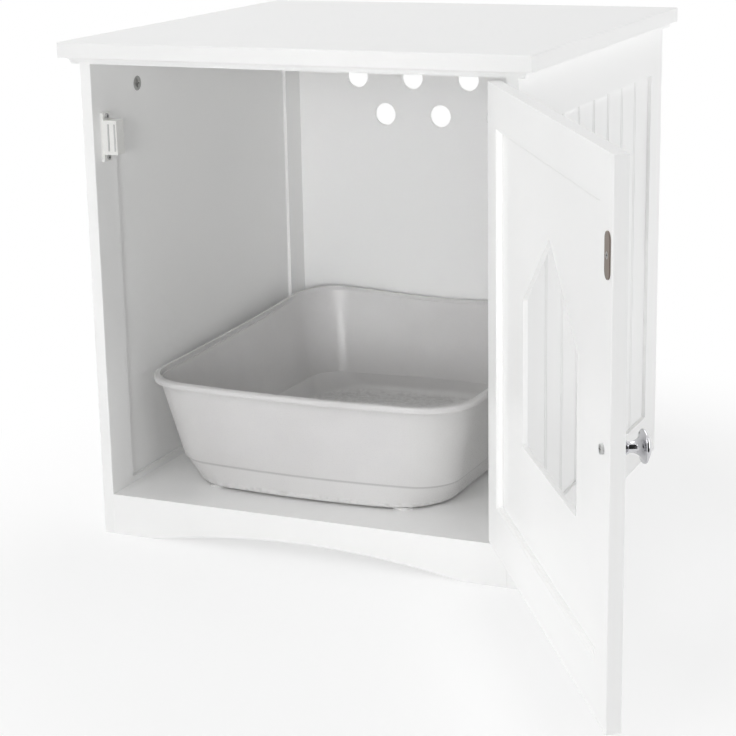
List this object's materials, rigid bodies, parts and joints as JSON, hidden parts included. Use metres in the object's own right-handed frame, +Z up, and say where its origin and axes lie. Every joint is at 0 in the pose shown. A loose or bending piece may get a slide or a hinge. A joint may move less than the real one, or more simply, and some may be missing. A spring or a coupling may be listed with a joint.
{
  "type": "litter box enclosure",
  "caption": "White cabinet with a coved top, beaded sides, a vented back and a hinged door with a gable-shaped cat entry, around a grey litter tray.",
  "frame": {"origin": "on the floor, at the middle of the back face", "axes": "+X to the right seen from the door, +Y to the back, +Z up"},
  "size_m": [0.6982, 0.8519, 0.51],
  "materials": {
    "white_lacquer": "white satin lacquer on fibreboard",
    "white_backboard": "white film on thin hardboard",
    "grey_tray_plastic": "light grey satin moulding",
    "white_catch_plastic": "white moulding",
    "steel": "zinc-plated",
    "bronzed_steel": "dull brown-grey plating",
    "cast_zinc": "die-cast",
    "knob_chrome": "polished",
    "ferrite": "dull black",
    "bare_beech": "bare"
  },
  "bodies": {
    "cabinet": {"apron_dowels": "bare_beech", "back_nails": "steel", "back_panel": "white_backboard", "cam_bolts": "steel", "catch_housing": "white_catch_plastic", "catch_magnet": "ferrite", "catch_pole_plates": "steel", "catch_screws": "steel", "floor_panel": "white_lacquer", "frame_hinge_screws": "steel", "front_apron": "white_lacquer", "left_bead_panel": "white_lacquer", "left_bottom_rail": "white_lacquer", "left_front_stile": "white_lacquer", "left_rear_stile": "white_lacquer", "left_top_rail": "white_lacquer", "lower_hinge_frame_leaf": "steel", "lower_hinge_pin": "steel", "right_bead_panel": "white_lacquer", "right_bottom_rail": "white_lacquer", "right_front_stile": "white_lacquer", "right_rear_stile": "white_lacquer", "right_top_rail": "white_lacquer", "top_dowels": "bare_beech", "top_panel": "white_lacquer", "upper_hinge_frame_leaf": "steel", "upper_hinge_pin": "steel"},
    "door": {"door_hinge_stile": "white_lacquer", "door_latch_stile": "white_lacquer", "door_top_rail": "white_lacquer", "door_bottom_rail": "white_lacquer", "door_bead_panel": "white_lacquer", "lower_hinge_door_leaf": "steel", "upper_hinge_door_leaf": "steel", "door_hinge_screws": "steel", "knob": "knob_chrome", "knob_screw": "steel", "strike_plate": "bronzed_steel", "strike_screw": "steel"},
    "tray": {"litter_tray": "grey_tray_plastic"},
    "left_front_cam": {"left_front_cam": "cast_zinc"},
    "left_rear_cam": {"left_rear_cam": "cast_zinc"},
    "right_front_cam": {"right_front_cam": "cast_zinc"},
    "right_rear_cam": {"right_rear_cam": "cast_zinc"}
  },
  "joints": [
    {"name": "door_swing", "type": "hinge", "parent": "cabinet", "child": "door", "pos_m": [0.21525, -0.4802, 0.26875], "axis": [0, 0, 1], "range_deg": [-122, 50]},
    {"name": "tray_slide", "type": "slide", "parent": "cabinet", "child": "tray", "axis": [0, -1, 0], "range_m": [0, 0.4]},
    {"name": "left_front_cam_turn", "type": "hinge", "parent": "cabinet", "child": "left_front_cam", "pos_m": [-0.2165, -0.387, 0.4585], "axis": [1, 0, 0], "range_deg": [-180, 0]},
    {"name": "left_rear_cam_turn", "type": "hinge", "parent": "cabinet", "child": "left_rear_cam", "pos_m": [-0.2165, -0.09, 0.4585], "axis": [1, 0, 0], "range_deg": [-180, 0]},
    {"name": "right_front_cam_turn", "type": "hinge", "parent": "cabinet", "child": "right_front_cam", "pos_m": [0.2165, -0.387, 0.4585], "axis": [1, 0, 0], "range_deg": [-180, 0]},
    {"name": "right_rear_cam_turn", "type": "hinge", "parent": "cabinet", "child": "right_rear_cam", "pos_m": [0.2165, -0.09, 0.4585], "axis": [1, 0, 0], "range_deg": [-180, 0]}
  ]
}
